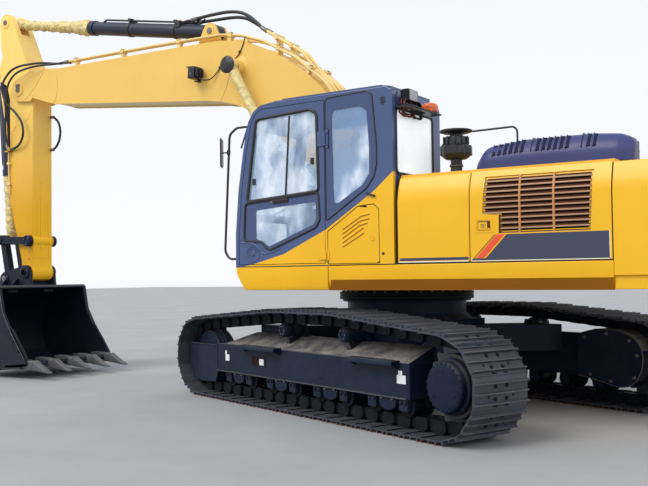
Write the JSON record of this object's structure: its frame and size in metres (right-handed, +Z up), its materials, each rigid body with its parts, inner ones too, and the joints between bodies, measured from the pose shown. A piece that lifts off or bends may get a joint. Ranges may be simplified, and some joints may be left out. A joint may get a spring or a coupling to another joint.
{
  "type": "crawler excavator",
  "caption": "Crawler excavator with tracks, slewing upper works, cab with opening door, engine covers, boom, arm, bucket and hydraulic cylinders as joined pieces.",
  "frame": {"origin": "on the slewing axis, at the height of the ground under the tracks", "axes": "+X forward along the boom, the way the operator faces; +Y to the operator's left; +Z up. The tracks are turned 21 degrees to the right of +X."},
  "size_m": [10.173, 4.7469, 5.285],
  "materials": {
    "yellow_paint": "worn yellow-orange paint with dust",
    "navy_paint": "dark navy paint with dust and scratches",
    "worn_steel": "worn bare steel with mud",
    "black_paint": "satin black paint",
    "glass": "clear window glass",
    "seat_fabric": "dark grey woven seat cover",
    "dark_plastic": "dark grey moulded plastic",
    "orange_lens": "orange translucent lens",
    "cream_wrap": "pale yellow paint",
    "hose_rubber": "black hose rubber"
  },
  "bodies": {
    "undercarriage": {"carbody": "navy_paint", "slew_ring": "navy_paint", "track_frame_left": "navy_paint", "track_frame_right": "navy_paint", "track_left": "worn_steel", "track_right": "worn_steel", "idlers": "navy_paint", "sprockets": "worn_steel", "final_drives": "navy_paint", "track_rollers": "navy_paint", "carrier_rollers": "navy_paint", "track_steps": "navy_paint"},
    "upper": {"swing_bearing": "worn_steel", "deck_plate": "yellow_paint", "deck_rails": "yellow_paint", "main_frame": "yellow_paint", "side_skirts": "yellow_paint", "counterweight": "yellow_paint", "house_frame": "yellow_paint", "engine_block": "worn_steel", "cooler_pack": "black_paint", "swing_motor": "navy_paint", "control_valve": "worn_steel", "fuel_tank": "yellow_paint", "hydraulic_tank": "yellow_paint", "tool_box": "yellow_paint", "cab_body": "navy_paint", "cab_roof": "navy_paint", "cab_glass": "glass", "operator_seat": "seat_fabric", "cab_controls": "dark_plastic", "pre_cleaner": "black_paint", "exhaust_stack": "worn_steel", "grab_rails": "black_paint", "mirrors": "black_paint", "beacon": "orange_lens"},
    "hood": {"engine_hood": "navy_paint"},
    "door_side_front": {"side_door_front": "yellow_paint"},
    "door_side_rear": {"side_door_rear": "yellow_paint"},
    "door_pump": {"pump_door": "yellow_paint"},
    "door_filter": {"filter_door": "yellow_paint"},
    "lid_tool_box": {"tool_box_lid": "black_paint"},
    "door_cab": {"cab_door": "navy_paint", "cab_door_glass": "glass"},
    "boom": {"boom": "yellow_paint", "boom_pipes": "cream_wrap", "arch_hose_left": "hose_rubber", "arch_hose_right": "hose_rubber"},
    "arm": {"arm": "yellow_paint", "arm_hose": "hose_rubber"},
    "bucket": {"bucket": "navy_paint", "bucket_teeth": "worn_steel"},
    "idler_links": {"idler_links": "navy_paint"},
    "bucket_link": {"bucket_link": "navy_paint"},
    "boom_cylinders": {"boom_cylinders": "navy_paint"},
    "boom_rods": {"boom_rods": "cream_wrap"},
    "arm_cylinder": {"arm_cylinder": "navy_paint"},
    "arm_rod": {"arm_rod": "cream_wrap"},
    "bucket_cylinder": {"bucket_cylinder": "navy_paint"},
    "bucket_rod": {"bucket_rod": "cream_wrap"}
  },
  "joints": [
    {"name": "slew", "type": "hinge", "parent": "undercarriage", "child": "upper", "pos_m": [0, 0, 1.15], "axis": [0, 0, 1], "continuous": true},
    {"name": "boom_lift", "type": "hinge", "parent": "upper", "child": "boom", "pos_m": [0.12, 0, 2], "axis": [0, -1, 0], "range_deg": [-50, 42]},
    {"name": "arm_swing", "type": "hinge", "parent": "boom", "child": "arm", "pos_m": [6.18, 0, 4.1], "axis": [0, 1, 0], "range_deg": [-80, 30]},
    {"name": "bucket_curl", "type": "hinge", "parent": "arm", "child": "bucket", "pos_m": [6.035, 0, 1.45], "axis": [0, 1, 0], "range_deg": [-50, 95]},
    {"name": "boom_cylinder_swing", "type": "hinge", "parent": "upper", "child": "boom_cylinders", "pos_m": [0.7, 0, 1.42], "axis": [0, -1, 0], "range_deg": [-48, 41]},
    {"name": "boom_rod_slide", "type": "slide", "parent": "boom_cylinders", "child": "boom_rods", "axis": [0.5003, 0, 0.8658], "range_m": [-0.66, 0.56]},
    {"name": "arm_cylinder_swing", "type": "hinge", "parent": "boom", "child": "arm_cylinder", "pos_m": [2.66, 0, 4.425], "axis": [0, 1, 0], "range_deg": [-3, 2]},
    {"name": "arm_rod_slide", "type": "slide", "parent": "arm_cylinder", "child": "arm_rod", "axis": [0.983, 0, 0.1837], "range_m": [-1.37, 0.52]},
    {"name": "idler_swing", "type": "hinge", "parent": "arm", "child": "idler_links", "pos_m": [5.99, 0, 1.9], "axis": [0, 1, 0], "range_deg": [-35, 66.5]},
    {"name": "bucket_link_swing", "type": "hinge", "parent": "idler_links", "child": "bucket_link", "pos_m": [6.61, 0, 1.93], "axis": [0, 1, 0], "range_deg": [-39.5, 21]},
    {"name": "bucket_cylinder_swing", "type": "hinge", "parent": "arm", "child": "bucket_cylinder", "pos_m": [6.79, 0, 4.4], "axis": [0, 1, 0], "range_deg": [-2, 3]},
    {"name": "bucket_rod_slide", "type": "slide", "parent": "bucket_cylinder", "child": "bucket_rod", "axis": [-0.0727, 0, -0.9974], "range_m": [-0.34, 0.64]},
    {"name": "hood_hinge", "type": "hinge", "parent": "upper", "child": "hood", "pos_m": [-1.335, 0, 2.264], "axis": [0, 1, 0], "range_deg": [0, 60]},
    {"name": "cab_door_hinge", "type": "hinge", "parent": "upper", "child": "door_cab", "pos_m": [0.066, 1.506, 2.1], "axis": [0, 0, 1], "range_deg": [0, 165]},
    {"name": "side_door_front_hinge", "type": "hinge", "parent": "upper", "child": "door_side_front", "pos_m": [-1.417, 1.492, 1.85], "axis": [0, 0, 1], "range_deg": [0, 85]},
    {"name": "side_door_rear_hinge", "type": "hinge", "parent": "upper", "child": "door_side_rear", "pos_m": [-2.636, 1.492, 1.85], "axis": [0, 0, 1], "range_deg": [0, 85]},
    {"name": "pump_door_hinge", "type": "hinge", "parent": "upper", "child": "door_pump", "pos_m": [-1.204, -1.492, 1.85], "axis": [0, 0, 1], "range_deg": [0, 85]},
    {"name": "filter_door_hinge", "type": "hinge", "parent": "upper", "child": "door_filter", "pos_m": [0.044, 1.492, 1.7], "axis": [0, 0, 1], "range_deg": [-80, 0]},
    {"name": "tool_box_lid_hinge", "type": "hinge", "parent": "upper", "child": "lid_tool_box", "pos_m": [0.608, -1.1, 1.972], "axis": [0, -1, 0], "range_deg": [0, 75]}
  ],
  "couplings": [
    {"joint": "boom_cylinder_swing", "follows": "boom_lift", "ratio": 0.9464},
    {"joint": "boom_rod_slide", "follows": "boom_lift", "m_per_rad": 0.7461},
    {"joint": "arm_cylinder_swing", "follows": "arm_swing", "ratio": 0.026},
    {"joint": "arm_rod_slide", "follows": "arm_swing", "m_per_rad": 0.9726},
    {"joint": "idler_swing", "follows": "bucket_curl", "ratio": 0.6915},
    {"joint": "bucket_link_swing", "follows": "bucket_curl", "ratio": -0.4059},
    {"joint": "bucket_cylinder_swing", "follows": "bucket_curl", "ratio": 0.0205},
    {"joint": "bucket_rod_slide", "follows": "bucket_curl", "m_per_rad": 0.3784}
  ]
}
